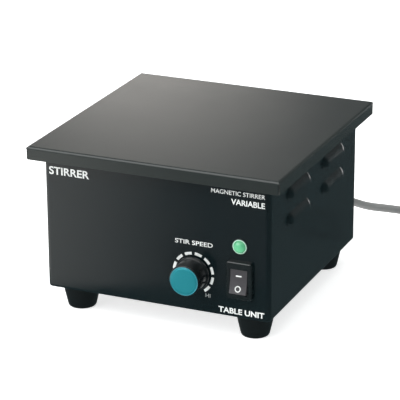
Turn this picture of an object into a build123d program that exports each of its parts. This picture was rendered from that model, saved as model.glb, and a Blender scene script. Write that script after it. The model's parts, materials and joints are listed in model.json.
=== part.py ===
"""Magnetic stirrer with a 200 mm square steel plate, as separate pieces.

Millimetres. The origin is on the drive axis at bench level, +X is to the right as seen
from the front, +Y is towards the back and +Z is up.
"""

import math
import os

from build123d import *

# Plate: a folded pan that caps the case
PLATE = 200.0
PLATE_T = 1.5
PAN_DROP = 10.0
PAN_BEND_R = 2.0
SEAM_GAP = 1.5

# Case: one welded sheet shell with inward lips at its top and bottom
CASE_W = 180.0
CASE_D = 182.0
CASE_VISIBLE_H = 103.0
WALL = 1.2
CORNER_R = 3.5
EDGE_R = 2.0
BOTTOM_LIP = 32.0
TOP_LIP = 20.0

# Feet
FOOT_H = 19.0
FOOT_X = 71.0
FOOT_Y = 71.6
FOOT_TOP_R = 14.6
FOOT_BOTTOM_R = 10.8
FOOT_RECESS_R = 5.0
FOOT_SCREW_SEAT = 8.5

# Heights that follow from the above
CASE_Z0 = FOOT_H
PLATE_TOP = FOOT_H + CASE_VISIBLE_H + PAN_DROP
CASE_Z1 = PLATE_TOP - PLATE_T
FLOOR_Z0 = CASE_Z0 + WALL
FLOOR_Z1 = FLOOR_Z0 + WALL
FRONT = -CASE_D / 2
FRONT_IN = FRONT + WALL
BACK = CASE_D / 2
BACK_IN = BACK - WALL

# Louvres in both side walls: hoods that are open downwards
LOUVRE_LENGTH = 46.0
LOUVRE_H = 7.5
LOUVRE_PROUD = 3.5
LOUVRE_YS = (-36.0, 36.0)
LOUVRE_TOPS = (CASE_Z0 + 72.5, CASE_Z0 + 92.5)
LOUVRE_RELIEF_R = 1.3

# Fasteners
STUD_R = 2.0
STUD_X = 79.0
STUD_Y = 58.0
FLOOR_SCREW_R = 1.5
FLOOR_SCREW_AT = [(-75, 0), (75, 0), (-35, -75), (35, -75), (-35, 75), (35, 75)]
M3_R = 1.5

# Speed control
KNOB_X = 30.0
KNOB_Z = CASE_Z0 + 30.0
KNOB_SKIRT_R = 13.2
KNOB_R = 12.0
KNOB_CAP_R = 10.9
KNOB_FRONT = 18.0
KNOB_GAP = 0.6
POT_R = 12.0
POT_DEPTH = 11.0
BUSH_R = 4.5
SHAFT_R = 3.0
RUNNING = 0.05

# Pilot lamp
LAMP_X = 66.6
LAMP_Z = CASE_Z0 + 56.2
LAMP_R = 5.5

# Rocker switch
SWITCH_X = 67.1
SWITCH_Z = CASE_Z0 + 29.7
BEZEL_W = 20.2
BEZEL_H = 28.8
BEZEL_LIFT = 0.8
BEZEL_PROUD = 3.5
SWITCH_BODY_W = 17.0
SWITCH_BODY_H = 23.4
SWITCH_DEPTH = 19.0
WINDOW_W = 13.6
WINDOW_H = 19.8
ROCKER_W = 13.2
ROCKER_H = 18.2
ROCKER_TILT = 10.0
ROCKER_PIVOT_Y = FRONT - 1.0
ROCKER_PIN_R = 1.2

# Motor on the drive axis
CAN_R = 26.0
CAN_WALL = 1.6
CAN_Z0 = 38.0
CAN_Z1 = 86.0
BRONZE_R = 6.0
ROTOR_SHAFT_R = 3.0
CORE_R = 19.5
CORE_Z0 = 54.0
CORE_Z1 = 78.0
SLOTS = 8
SLOT_AT_R = 14.0
BRACKET_X = 46.0
BRACKET_Y = 24.0
BRACKET_T = 2.0
BRACKET_FLANGE_Z = 26.4
GROMMET_AT = [(-52, -16), (52, -16), (-52, 16), (52, 16)]
YOKE_Z = 104.0
YOKE_HALF = 38.0
YOKE_HALF_W = 11.0
YOKE_T = 4.0
MAGNET_H = 16.0

# Control board
BOARD_X = (-84.0, -20.0)
BOARD_Y = (-82.0, -38.0)
BOARD_Z = FLOOR_Z1 + 10.0
BOARD_T = 1.6
BOARD_TOP = BOARD_Z + BOARD_T
TERMINAL_WAYS = 8
TERMINAL_PITCH = 6.0

# Transformer
TRAFO_X = -50.0
TRAFO_Y = 53.0
TRAFO_W = 50.0
TRAFO_D = 22.0
TRAFO_H = 42.0
TRAFO_Z = FLOOR_Z1 + 1.5

# Mains cord
CORD_R = 3.25
CORD_X = 58.0
CORD_Z = 34.0
BOOT_OUT = 20.0
CORD_ROUTE = [
    (58.0, 111.0, 34.0),
    (58.0, 125.0, 34.0),
    (61.2, 137.6, 31.4),
    (67.8, 148.2, 27.2),
    (77.8, 156.2, 22.4),
    (93.0, 163.0, 19.7),
    (111.5, 169.0, 15.5),
    (131.0, 172.0, 8.6),
    (149.0, 172.5, 3.25),
    (163.0, 172.5, 3.25),
]
LEAD_R = 0.9
LEAD_END_GAP = 0.5
LEAD_ROUTES = [
    # Live and neutral, from the cord tail to the switch's lower tabs
    [
        (59.5, 70, 34),
        (60.5, 60, 32),
        (68, 46, 26),
        (78, 30, 24),
        (79, 0, 24),
        (79, -30, 24.5),
        (76, -46, 29),
        (72, -52, 38),
        (71.1, -56, 42.7),
        (71.1, -63, 42.7),
    ],
    [
        (56.5, 70, 34),
        (57.5, 60, 31.5),
        (64, 46, 26),
        (72.5, 28, 24),
        (71.5, 0, 24),
        (71.5, -30, 24.5),
        (68, -46, 30),
        (64, -53, 39),
        (63.1, -56, 42.7),
        (63.1, -63, 42.7),
    ],
    # Earth, from the cord tail to the tag on the floor plate
    [(58, 70, 32), (57.9, 66, 31.2), (57, 63.2, 26), (54, 62.1, 22.5), (48.5, 62, 22.4)],
    # Switched pair, from the switch's upper tabs to the terminal strip
    [
        (71.1, -63, 54.7),
        (70, -54, 54),
        (58, -48, 48),
        (40, -46, 43),
        (10, -42, 40),
        (-12, -37, 40),
        (-26, -38, 39.5),
        (-31, -41.5, 37),
        (-31, -48, 36.1),
    ],
    [
        (63.1, -63, 54.7),
        (62.5, -55, 53),
        (54, -51, 46),
        (36, -49, 40),
        (8, -45, 36),
        (-14, -35.5, 34.5),
        (-28, -32.5, 34.5),
        (-36, -36, 35.5),
        (-37, -41, 36.1),
        (-37, -48, 36.1),
    ],
    # Lamp pair, from the bulb to the switch's upper tabs
    [(67.8, -73, 75.2), (68, -68.5, 74.8), (70, -66, 70), (71.1, -66, 64), (71.1, -66, 57.1)],
    [(65.4, -73, 75.2), (65.2, -68.5, 74.8), (63.6, -66, 70), (63.1, -66, 64), (63.1, -66, 57.1)],
    # Motor pair, from the end bell to the strip
    [
        (-3, -20, 34),
        (-3, -21, 28.5),
        (-9, -28, 26.5),
        (-26, -32, 28),
        (-42, -34, 33),
        (-49, -37, 36),
        (-49, -48, 36.1),
    ],
    [
        (3, -20, 34),
        (3, -21.5, 28.5),
        (-2, -30, 25.5),
        (-20, -35.5, 26),
        (-35, -35.5, 31),
        (-42, -36.5, 35.5),
        (-43, -41, 36.1),
        (-43, -48, 36.1),
    ],
    # Transformer leads, to the strip
    [(-62, 33.5, 36), (-63, 22, 35), (-70, 6, 34), (-72, -14, 34.5), (-73, -36, 36), (-73, -48, 36.1)],
    [(-56, 33.5, 36), (-58, 22, 35), (-64, 6, 34), (-66, -14, 34.5), (-67, -36, 36), (-67, -48, 36.1)],
    [(-50, 33.5, 36), (-51, 22, 37), (-57.5, 6, 37), (-60, -14, 37), (-61, -36, 36), (-61, -48, 36.1)],
    [(-44, 33.5, 36), (-48, 25.5, 36.5), (-51, 6, 37.5), (-54, -14, 37.5), (-55, -36, 36), (-55, -48, 36.1)],
    # Speed control leads, from the potentiometer's tag to the board
    [
        (26, -85.8, 31),
        (26, -85.4, 27.5),
        (19, -82, 26),
        (4, -72, 30),
        (-10, -61, 38),
        (-20, -58, 40),
        (-23, -58, 38),
        (-23, -58, 33),
    ],
    [
        (30, -85.8, 31),
        (30, -85.2, 27),
        (22, -80, 25.5),
        (6, -69, 29),
        (-9, -57, 36.5),
        (-20, -54, 38.5),
        (-23, -54, 37),
        (-23, -54, 33),
    ],
    [
        (34, -85.8, 31),
        (34, -85, 26.5),
        (25, -78, 24.5),
        (8, -66, 28),
        (-8, -53, 35),
        (-20, -50, 37),
        (-23, -50, 36),
        (-23, -50, 33),
    ],
]
COIL_X = 170.0
COIL_Y = 130.0
COIL_MEAN_R = 36.0
COIL_RINGS = 3
COIL_LAYERS = 3
COIL_H = COIL_LAYERS * 2 * CORD_R
TIE_W = 8.0
TIE_T = 0.8
PLUG_X = COIL_X + 33.0
PLUG_W = 24.0
PLUG_H = 15.0
PLUG_Z = COIL_H + PLUG_H / 2
PLUG_FRONT = COIL_Y - 38.0
PLUG_BACK = COIL_Y - 16.0
PLUG_NECK = 16.0
BLADE_LENGTH = 17.0
BLADE_PITCH = 12.7

FROM_LOW = (Align.CENTER, Align.CENTER, Align.MIN)
CORNER = (Align.MIN, Align.MIN, Align.MIN)


# Shapes that the pieces share


def block(x0, x1, y0, y1, z0, z1):
    """Box between two corners."""
    return Pos(x0, y0, z0) * Box(x1 - x0, y1 - y0, z1 - z0, align=CORNER)


def bar(radius, z0, z1, x=0.0, y=0.0):
    """Round bar along Z."""
    return Pos(x, y, z0) * Cylinder(radius, z1 - z0, align=FROM_LOW)


def bar_y(radius, y0, y1, x, z):
    """Round bar along Y."""
    return Pos(x, y0, z) * Rot(-90, 0, 0) * Cylinder(radius, y1 - y0, align=FROM_LOW)


def bar_x(radius, x0, x1, y, z):
    """Round bar along X."""
    return Pos(x0, y, z) * Rot(0, 90, 0) * Cylinder(radius, x1 - x0, align=FROM_LOW)


def ring(outer, inner, z0, z1, x=0.0, y=0.0):
    """Round tube along Z."""
    return bar(outer, z0, z1, x, y) - bar(inner, z0 - 1, z1 + 1, x, y)


def spun_y(profile, x, z):
    """Solid of revolution about an axis along Y, from a closed outline of (radius, y)."""
    face = make_face(Polyline(*profile, close=True))
    return Pos(x, 0, z) * revolve(face, Axis.Y)


def nut(flats, flange_r, bore_r, z0, z1, x, y, flange_low=False):
    """Hexagon flange nut along Z."""
    body = Pos(x, y, z0) * extrude(RegularPolygon(flats / 2, 6, major_radius=False), z1 - z0)
    flange_z = z0 if flange_low else z1 - 1.0
    body += bar(flange_r, flange_z, flange_z + 1.0, x, y)
    return body - bar(bore_r, z0 - 1, z1 + 1, x, y)


def screw(x, y, seat, shank_r, shank, head_r, head_h, head_up=True):
    """Button-head screw along Z, with a hexagon socket in its head."""
    way = 1 if head_up else -1
    head = bar(head_r, min(seat, seat + way * head_h), max(seat, seat + way * head_h), x, y)
    rim = head.edges().filter_by(GeomType.CIRCLE).sort_by(Axis.Z)[-1 if head_up else 0]
    head = fillet(rim, head_h * 0.45)
    body = head + bar(shank_r, min(seat, seat - way * shank), max(seat, seat - way * shank), x, y)
    socket = extrude(RegularPolygon(head_r * 0.45, 6), head_h * 0.6)
    socket_z = seat + head_h * 0.5 if head_up else seat - head_h * 1.1
    return body - Pos(x, y, socket_z) * socket


def group(pieces):
    """Separate solids kept side by side in one node."""
    return Compound(children=[solid for piece in pieces for solid in piece.solids()])


# Case and plate


def top_plate():
    half = PLATE / 2
    pan = block(-half, half, -half, half, PLATE_TOP - PAN_DROP, PLATE_TOP)
    pan = fillet(pan.faces().sort_by(Axis.Z)[-1].edges(), PAN_BEND_R)
    inside = half - PLATE_T
    hollow = block(-inside, inside, -inside, inside, PLATE_TOP - PAN_DROP - 1, CASE_Z1)
    hollow = fillet(hollow.faces().sort_by(Axis.Z)[-1].edges(), PAN_BEND_R - PLATE_T)
    pan -= hollow
    seam_h = PAN_DROP - PAN_BEND_R
    for sx in (-1, 1):
        for sy in (-1, 1):
            turn = Rot(0, 0, 45 * sx * sy)
            seam = Box(8, SEAM_GAP, seam_h, align=FROM_LOW)
            pan -= Pos(sx * half, sy * half, PLATE_TOP - PAN_DROP) * turn * seam
    return pan


def stud_places():
    return [(sx * STUD_X, sy * STUD_Y) for sx in (-1, 1) for sy in (-1, 1)]


def plate_studs():
    return group([bar(STUD_R, 118, CASE_Z1, x, y) for x, y in stud_places()])


def plate_nuts():
    top = CASE_Z1 - WALL
    return group([nut(7, 5, STUD_R, top - 4, top, x, y) for x, y in stud_places()])


def foot_places():
    return {
        "front_left": (-FOOT_X, -FOOT_Y),
        "front_right": (FOOT_X, -FOOT_Y),
        "rear_left": (-FOOT_X, FOOT_Y),
        "rear_right": (FOOT_X, FOOT_Y),
    }


def rubber_foot(x, y):
    """Tapered foot with a recess for its screw head."""
    foot = Pos(x, y, 0) * Cone(FOOT_BOTTOM_R, FOOT_TOP_R, FOOT_H, align=FROM_LOW)
    foot = fillet(foot.edges().filter_by(GeomType.CIRCLE).sort_by(Axis.Z)[0], 2.0)
    foot -= bar(FOOT_RECESS_R, -1, FOOT_SCREW_SEAT, x, y)
    return foot - bar(STUD_R + 0.1, 0, FOOT_H + 1, x, y)


def foot_screws():
    """Screws that go up through the feet, the case lips and the floor plate."""
    length = FLOOR_Z1 + 5.5 - FOOT_SCREW_SEAT
    return group(
        [
            screw(x, y, FOOT_SCREW_SEAT, STUD_R, length, 4.2, 2.6, head_up=False)
            for x, y in foot_places().values()
        ]
    )


def foot_nuts():
    return group(
        [
            nut(7, 5, STUD_R, FLOOR_Z1, FLOOR_Z1 + 4, x, y, flange_low=True)
            for x, y in foot_places().values()
        ]
    )


def capsule(radius, straight, x, y, z):
    """Bar along Y with ball ends."""
    body = bar_y(radius, y - straight / 2, y + straight / 2, x, z)
    for end in (-1, 1):
        body += Pos(x, y + end * straight / 2, z) * Sphere(radius)
    return body


def cut_louvre(shell, side, y, top):
    """Press one hood out of a side wall and open its lower edge."""
    lip = top - LOUVRE_H
    outer_r = (LOUVRE_H**2 + LOUVRE_PROUD**2) / (2 * LOUVRE_PROUD)
    axis_x = side * (CASE_W / 2 + LOUVRE_PROUD - outer_r)
    straight = LOUVRE_LENGTH - 2 * LOUVRE_H
    wall_x = side * CASE_W / 2
    above = block(-20, 20, y - 40, y + 40, lip, lip + 20)
    outside = Pos(wall_x + side * 19.5, 0, 0) * above
    hood = capsule(outer_r, straight, axis_x, y, lip) & outside
    through = Pos(wall_x + side * 17.5, 0, 0) * above
    hollow = capsule(outer_r - WALL, straight, axis_x, y, lip) & through
    shell = shell + hood - hollow
    relief_at = straight / 2 + LOUVRE_H - WALL - 0.5
    for end in (-1, 1):
        low, high = sorted((wall_x - side * 3, wall_x + side * 3))
        shell -= bar_x(LOUVRE_RELIEF_R, low, high, y + end * relief_at, lip)
    return shell


def case_shell():
    half_w = CASE_W / 2
    half_d = CASE_D / 2
    shell = block(-half_w, half_w, -half_d, half_d, CASE_Z0, CASE_Z1)
    shell = fillet(shell.edges().filter_by(Axis.Z), CORNER_R)
    shell = fillet(shell.faces().sort_by(Axis.Z)[0].edges(), EDGE_R)
    in_w = half_w - WALL
    in_d = half_d - WALL
    hollow = block(-in_w, in_w, -in_d, in_d, CASE_Z0 + WALL, CASE_Z1 - WALL)
    hollow = fillet(hollow.edges().filter_by(Axis.Z), CORNER_R - WALL)
    shell -= hollow
    for lip, z in ((BOTTOM_LIP, CASE_Z0), (TOP_LIP, CASE_Z1)):
        opening = block(lip - half_w, half_w - lip, lip - half_d, half_d - lip, z - 3, z + 3)
        shell -= fillet(opening.edges().filter_by(Axis.Z), 6.0)
    for side in (-1, 1):
        for y in LOUVRE_YS:
            for top in LOUVRE_TOPS:
                shell = cut_louvre(shell, side, y, top)
    for x, y in foot_places().values():
        shell -= bar(STUD_R + 0.3, CASE_Z0 - 1, FLOOR_Z0 + 1, x, y)
    for x, y in FLOOR_SCREW_AT:
        shell -= bar(FLOOR_SCREW_R + 0.3, CASE_Z0 - 1, FLOOR_Z0 + 1, x, y)
    for x, y in stud_places():
        shell -= bar(STUD_R + 0.3, CASE_Z1 - 3, CASE_Z1 + 1, x, y)
    shell -= bar_y(BUSH_R + 0.2, FRONT - 1, FRONT_IN + 1, KNOB_X, KNOB_Z)
    shell -= bar_y(4.6, FRONT - 1, FRONT_IN + 1, LAMP_X, LAMP_Z)
    hole_w = SWITCH_BODY_W / 2 + 0.1
    hole_h = SWITCH_BODY_H / 2 + 0.1
    shell -= block(
        SWITCH_X - hole_w,
        SWITCH_X + hole_w,
        FRONT - 1,
        FRONT_IN + 1,
        SWITCH_Z - hole_h,
        SWITCH_Z + hole_h,
    )
    return shell - bar_y(6.2, BACK_IN - 1, BACK + 1, CORD_X, CORD_Z)


def bottom_plate():
    """Floor plate that lies on the bottom lips, with air slots."""
    half_w = CASE_W / 2 - WALL - 1.5
    half_d = CASE_D / 2 - WALL - 1.5
    plate = block(-half_w, half_w, -half_d, half_d, FLOOR_Z0, FLOOR_Z1)
    plate = fillet(plate.edges().filter_by(Axis.Z), 3.0)
    for side in (-1, 1):
        for step in range(4):
            slot = extrude(SlotOverall(40, 3.5), 4)
            plate -= Pos(0, side * (34 + 6 * step), FLOOR_Z0 - 1) * slot
    for x, y in foot_places().values():
        plate -= bar(STUD_R + 0.3, FLOOR_Z0 - 1, FLOOR_Z1 + 1, x, y)
    for x, y in FLOOR_SCREW_AT:
        plate -= bar(FLOOR_SCREW_R, FLOOR_Z0 - 1, FLOOR_Z1 + 1, x, y)
    for x, y in GROMMET_AT:
        plate -= bar(STUD_R, FLOOR_Z0 - 1, FLOOR_Z1 + 1, x, y)
    for x, y in transformer_screw_places():
        plate -= bar(M3_R, FLOOR_Z0 - 1, FLOOR_Z1 + 1, x, y)
    return plate


def bottom_plate_screws():
    return group(
        [
            screw(x, y, CASE_Z0, FLOOR_SCREW_R, 5, 3.0, 1.8, head_up=False)
            for x, y in FLOOR_SCREW_AT
        ]
    )


# Speed control and knob


def pot_housing():
    """Potentiometer body behind the front wall, with its threaded bush through the wall."""
    body = bar_y(POT_R, FRONT_IN, FRONT_IN + POT_DEPTH, KNOB_X, KNOB_Z)
    body += block(KNOB_X - 8, KNOB_X + 8, FRONT_IN + 3, FRONT_IN + 5, KNOB_Z - 18, KNOB_Z - 8)
    body += bar_y(BUSH_R, FRONT - 7, FRONT_IN, KNOB_X, KNOB_Z)
    return body - bar_y(SHAFT_R + RUNNING, FRONT - 8, FRONT_IN + 9, KNOB_X, KNOB_Z)


def pot_nut():
    hexagon = extrude(RegularPolygon(6, 6, major_radius=False), 2.4)
    return Pos(KNOB_X, FRONT - 2.4, KNOB_Z) * Rot(-90, 0, 0) * hexagon - bar_y(
        BUSH_R, FRONT - 4, FRONT + 1, KNOB_X, KNOB_Z
    )


def pot_shaft():
    return bar_y(SHAFT_R, FRONT - 14.5, FRONT_IN + 8, KNOB_X, KNOB_Z)


def knob_body():
    """Skirted knob, hollow behind for the nut and the bush."""
    y = FRONT
    profile = [
        (SHAFT_R, y - 14.5),
        (0, y - 14.5),
        (0, y - 15.2),
        (10.0, y - 15.2),
        (10.0, y - 17.2),
        (KNOB_R - 0.5, y - 17.2),
        (KNOB_R, y - 16.6),
        (KNOB_R, y - 8.0),
        (KNOB_SKIRT_R - 0.6, y - 5.0),
        (KNOB_SKIRT_R, y - 1.6),
        (KNOB_SKIRT_R, y - KNOB_GAP),
        (8.6, y - KNOB_GAP),
        (8.6, y - 3.6),
        (5.2, y - 3.6),
        (5.2, y - 7.6),
        (SHAFT_R, y - 7.6),
    ]
    return spun_y(profile, KNOB_X, KNOB_Z) - knob_screw_bar(M3_R, SHAFT_R - 1, 20)


def knob_screw_bar(radius, r0, r1):
    """Bar across the knob, low on its left, where its set screw goes."""
    bar_out = Rot(0, -135, 0) * bar(radius, r0, r1)
    return Pos(KNOB_X, FRONT - 11, KNOB_Z) * bar_out


def knob_set_screw():
    return knob_screw_bar(M3_R, SHAFT_R, SHAFT_R + 6)


def knob_cap():
    """Coloured disc let into the front of the knob, with a thin raised rim."""
    y = FRONT
    profile = [
        (0, y - 15.2),
        (10.0, y - 15.2),
        (10.0, y - 17.2),
        (KNOB_CAP_R, y - 17.2),
        (KNOB_CAP_R, y - 17.7),
        (KNOB_CAP_R - 0.3, y - KNOB_FRONT),
        (KNOB_CAP_R - 0.9, y - KNOB_FRONT),
        (KNOB_CAP_R - 1.1, y - KNOB_FRONT + 0.2),
        (0, y - KNOB_FRONT + 0.2),
    ]
    return spun_y(profile, KNOB_X, KNOB_Z)


# Pilot lamp


def lamp_lens():
    """Green lens: a flange on the wall, a low dome and a hollow neck."""
    y = FRONT
    outline = [
        (0, y - 3.6),
        (1.6, y - 3.4),
        (3.0, y - 2.8),
        (4.0, y - 1.6),
        (4.4, y - 1.3),
        (LAMP_R - 0.4, y - 1.3),
        (LAMP_R, y - 0.9),
        (LAMP_R, y),
        (4.4, y),
        (4.4, y + 9),
        (3.2, y + 9),
        (3.2, y - 0.6),
        (0, y - 1.8),
    ]
    return spun_y(outline, LAMP_X, LAMP_Z)


def lamp_bulb():
    bulb = bar_y(2.4, FRONT + 1, FRONT + 10, LAMP_X, LAMP_Z)
    bulb = fillet(bulb.edges().filter_by(GeomType.CIRCLE).sort_by(Axis.Y)[0], 1.8)
    for side in (-1, 1):
        bulb += bar_y(0.4, FRONT + 10, FRONT + 18, LAMP_X + side * 1.2, LAMP_Z)
    return bulb


def lamp_clip():
    """Push-on ring that holds the lamp behind the wall."""
    return bar_y(6.5, FRONT_IN, FRONT_IN + 1.5, LAMP_X, LAMP_Z) - bar_y(
        4.4, FRONT_IN - 1, FRONT_IN + 3, LAMP_X, LAMP_Z
    )


# Rocker switch


def switch_housing():
    y0 = FRONT - BEZEL_PROUD
    bezel = Pos(SWITCH_X, y0, SWITCH_Z + BEZEL_LIFT) * Box(
        BEZEL_W, BEZEL_PROUD, BEZEL_H, align=(Align.CENTER, Align.MIN, Align.CENTER)
    )
    bezel = fillet(bezel.edges().filter_by(Axis.Y), 2.0)
    bezel = fillet(bezel.faces().sort_by(Axis.Y)[0].edges(), 1.2)
    body = bezel + Pos(SWITCH_X, FRONT, SWITCH_Z) * Box(
        SWITCH_BODY_W,
        SWITCH_DEPTH,
        SWITCH_BODY_H,
        align=(Align.CENTER, Align.MIN, Align.CENTER),
    )
    body -= Pos(SWITCH_X, y0 - 1, SWITCH_Z) * Box(
        WINDOW_W,
        SWITCH_DEPTH,
        WINDOW_H,
        align=(Align.CENTER, Align.MIN, Align.CENTER),
    )
    pin_half = SWITCH_BODY_W / 2 - 0.4
    return body - bar_x(
        ROCKER_PIN_R + RUNNING,
        SWITCH_X - pin_half,
        SWITCH_X + pin_half,
        ROCKER_PIVOT_Y,
        SWITCH_Z,
    )


def switch_rocker():
    """Rocker with a shallow valley across its face, its upper half pressed in."""
    half = ROCKER_H / 2
    outline = [
        (-4.0, -half),
        (-3.0, 0.0),
        (-4.0, half),
        (-0.5, half),
        (2.5, 5.0),
        (2.5, -5.0),
        (-0.5, -half),
    ]
    side = Plane.YZ * make_face(Polyline(*outline, close=True))
    rocker = extrude(side, ROCKER_W / 2, both=True)
    rocker = fillet(rocker.edges().filter_by(Axis.X).sort_by(Axis.Y)[:2], 0.6)
    rocker += bar_x(ROCKER_PIN_R, -ROCKER_W / 2 - 1.2, ROCKER_W / 2 + 1.2, 0, 0)
    rocker = Rot(-ROCKER_TILT, 0, 0) * rocker
    return Pos(SWITCH_X, ROCKER_PIVOT_Y, SWITCH_Z) * rocker


def switch_terminals():
    """Four push-on tabs behind the switch."""
    y0 = FRONT + SWITCH_DEPTH
    tabs = []
    for dx in (-4, 4):
        for dz in (-6, 6):
            x = SWITCH_X + dx
            z = SWITCH_Z + dz
            tab = block(x - 0.4, x + 0.4, y0, y0 + 9, z - 2.4, z + 2.4)
            tabs.append(tab - bar_x(0.9, x - 1, x + 1, y0 + 6, z))
    return group(tabs)


# Motor


def motor_can():
    can = bar(CAN_R, CAN_Z0, CAN_Z1)
    can = fillet(can.edges().filter_by(GeomType.CIRCLE).sort_by(Axis.Z)[-1], 1.5)
    can -= bar(CAN_R - CAN_WALL, CAN_Z0 - 1, CAN_Z1 - BRACKET_T)
    can -= bar(BRONZE_R, CAN_Z1 - 5, CAN_Z1 + 1)
    for x, y in motor_screw_places():
        can -= bar(M3_R, CAN_Z1 - 5, CAN_Z1 + 1, x, y)
    return can


def motor_end_bell():
    """Moulded end cap with the lower bearing seat and two brush holders."""
    inside = CAN_R - CAN_WALL
    bell = bar(9, 29, 34) + bar(CAN_R, 34, CAN_Z0) + bar(inside, CAN_Z0, 42)
    bell -= bar(BRONZE_R, 31, 39)
    bell -= bar(10, 39, 43)
    for side in (-1, 1):
        low, high = sorted((side * 11, side * 20))
        bell += block(low, high, -4.2, 4.2, 42, 47)
        low, high = sorted((side * 8, side * 19.2))
        bell -= block(low, high, -2.5, 2.5, 42, 46)
    return bell


def carbon_brushes():
    brushes = []
    for side in (-1, 1):
        low, high = sorted((side * 9.2, side * 18.5))
        brushes.append(block(low, high, -2.4, 2.4, 42.05, 45.9))
    return group(brushes)


def motor_magnets():
    """Two arc magnets against the can."""
    pair = ring(CAN_R - CAN_WALL, CORE_R + 0.9, CORE_Z0 - 2, CORE_Z1 + 2)
    return group([pair - block(-30, 30, -9, 9, 40, 90)])


def motor_bushes():
    bore = ROTOR_SHAFT_R + RUNNING
    return group([ring(BRONZE_R, bore, 80, 88), ring(BRONZE_R, bore, 31, 39)])


def slot_angles():
    return [360 / SLOTS * (i + 0.5) for i in range(SLOTS)]


def armature_core():
    core = ring(CORE_R, ROTOR_SHAFT_R, CORE_Z0, CORE_Z1)
    for angle in slot_angles():
        slot = bar(3.0, CORE_Z0 - 1, CORE_Z1 + 1, SLOT_AT_R, 0)
        slot += block(SLOT_AT_R, CORE_R + 1, -0.8, 0.8, CORE_Z0 - 1, CORE_Z1 + 1)
        core -= Rot(0, 0, angle) * slot
    return core


def armature_windings():
    wire = ring(18, 7, 48.5, CORE_Z0) + ring(18, 7, CORE_Z1, 82.5)
    for angle in slot_angles():
        wire += Rot(0, 0, angle) * bar(2.8, CORE_Z0, CORE_Z1, SLOT_AT_R, 0)
    return wire


def commutator():
    drum = ring(9, ROTOR_SHAFT_R, 41, 47)
    for angle in slot_angles():
        drum -= Rot(0, 0, angle) * block(7.5, 10, -0.3, 0.3, 40, 48)
    return drum


def rotor_shaft():
    return bar(ROTOR_SHAFT_R, 31.5, YOKE_Z + YOKE_T)


def magnet_hub():
    hub = bar(9, 92, YOKE_Z) + bar(15, YOKE_Z - 2.5, YOKE_Z)
    hub -= bar(ROTOR_SHAFT_R, 90, YOKE_Z + 1)
    return hub - bar_x(M3_R, 0, 10, 0, 96)


def hub_set_screw():
    return bar_x(M3_R, ROTOR_SHAFT_R, 8.5, 0, 96)


def yoke_bar():
    yoke = block(-YOKE_HALF, YOKE_HALF, -YOKE_HALF_W, YOKE_HALF_W, YOKE_Z, YOKE_Z + YOKE_T)
    yoke = fillet(yoke.edges().filter_by(Axis.Z), 4.0)
    return yoke - bar(ROTOR_SHAFT_R, YOKE_Z - 1, YOKE_Z + YOKE_T + 1)


def drive_magnets():
    """Two block magnets with opposite poles up, one at each end of the yoke."""
    z0 = YOKE_Z + YOKE_T
    pair = []
    for side in (-1, 1):
        low, high = sorted((side * 14, side * YOKE_HALF))
        magnet = block(low, high, -YOKE_HALF_W, YOKE_HALF_W, z0, z0 + MAGNET_H)
        pair.append(fillet(magnet.edges().filter_by(Axis.Z), 3.0))
    return group(pair)


def motor_screw_places():
    return [(0, -17), (0, 17)]


def motor_bracket():
    """Folded bracket that the motor hangs from, with a flange on each side."""
    bracket = block(-BRACKET_X, BRACKET_X, -BRACKET_Y, BRACKET_Y, CAN_Z1, CAN_Z1 + BRACKET_T)
    for side in (-1, 1):
        low, high = sorted((side * (BRACKET_X - BRACKET_T), side * BRACKET_X))
        leg = block(low, high, -BRACKET_Y, BRACKET_Y, BRACKET_FLANGE_Z, CAN_Z1)
        leg -= block(low - 1, high + 1, -13, 13, 40, 74)
        bracket += leg
        low, high = sorted((side * (BRACKET_X - BRACKET_T), side * (BRACKET_X + 12)))
        flange_top = BRACKET_FLANGE_Z + BRACKET_T
        bracket += block(low, high, -BRACKET_Y, BRACKET_Y, BRACKET_FLANGE_Z, flange_top)
    bracket -= bar(9, CAN_Z1 - 1, CAN_Z1 + 5)
    for x, y in motor_screw_places():
        bracket -= bar(M3_R + 0.1, CAN_Z1 - 1, CAN_Z1 + 5, x, y)
    for x, y in GROMMET_AT:
        bracket -= bar(STUD_R + 0.2, BRACKET_FLANGE_Z - 1, BRACKET_FLANGE_Z + 4, x, y)
    return bracket


def bracket_grommets():
    return group(
        [ring(5.5, STUD_R + 0.2, FLOOR_Z1, BRACKET_FLANGE_Z, x, y) for x, y in GROMMET_AT]
    )


def bracket_screws():
    seat = BRACKET_FLANGE_Z + BRACKET_T
    return group([screw(x, y, seat, STUD_R, seat - 18.5, 3.8, 2.4) for x, y in GROMMET_AT])


# Electrics


def board_hole_places():
    (x0, x1), (y0, y1) = BOARD_X, BOARD_Y
    return [(x, y) for x in (x0 + 4, x1 - 4) for y in (y0 + 4, y1 - 4)]


def control_board():
    board = block(*BOARD_X, *BOARD_Y, BOARD_Z, BOARD_TOP)
    board = fillet(board.edges().filter_by(Axis.Z), 1.5)
    for x, y in board_hole_places():
        board -= bar(M3_R + 0.1, BOARD_Z - 1, BOARD_TOP + 1, x, y)
    return board


def board_standoffs():
    posts = []
    for x, y in board_hole_places():
        posts.append(ring(3.0, M3_R, FLOOR_Z1, BOARD_Z, x, y))
    return group(posts)


def transformer_screw_places():
    return [(TRAFO_X - 31, TRAFO_Y), (TRAFO_X + 31, TRAFO_Y)]


def small_screws():
    """Eight alike M3 x 6: the board's four, the motor's two and the transformer's two."""
    seats = [(x, y, BOARD_TOP) for x, y in board_hole_places()]
    seats += [(x, y, CAN_Z1 + BRACKET_T) for x, y in motor_screw_places()]
    seats += [(x, y, TRAFO_Z) for x, y in transformer_screw_places()]
    lengths = [6, 6, 6, 6, 5, 5, 2.6, 2.6]
    return group(
        [screw(x, y, z, M3_R, long, 2.8, 1.8) for (x, y, z), long in zip(seats, lengths)]
    )


def on_board(piece, dx, dy):
    """A piece modelled at the board's front left corner, moved to its place on the board."""
    return Pos(BOARD_X[0] + dx, BOARD_Y[0] + dy, BOARD_TOP) * piece


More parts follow.
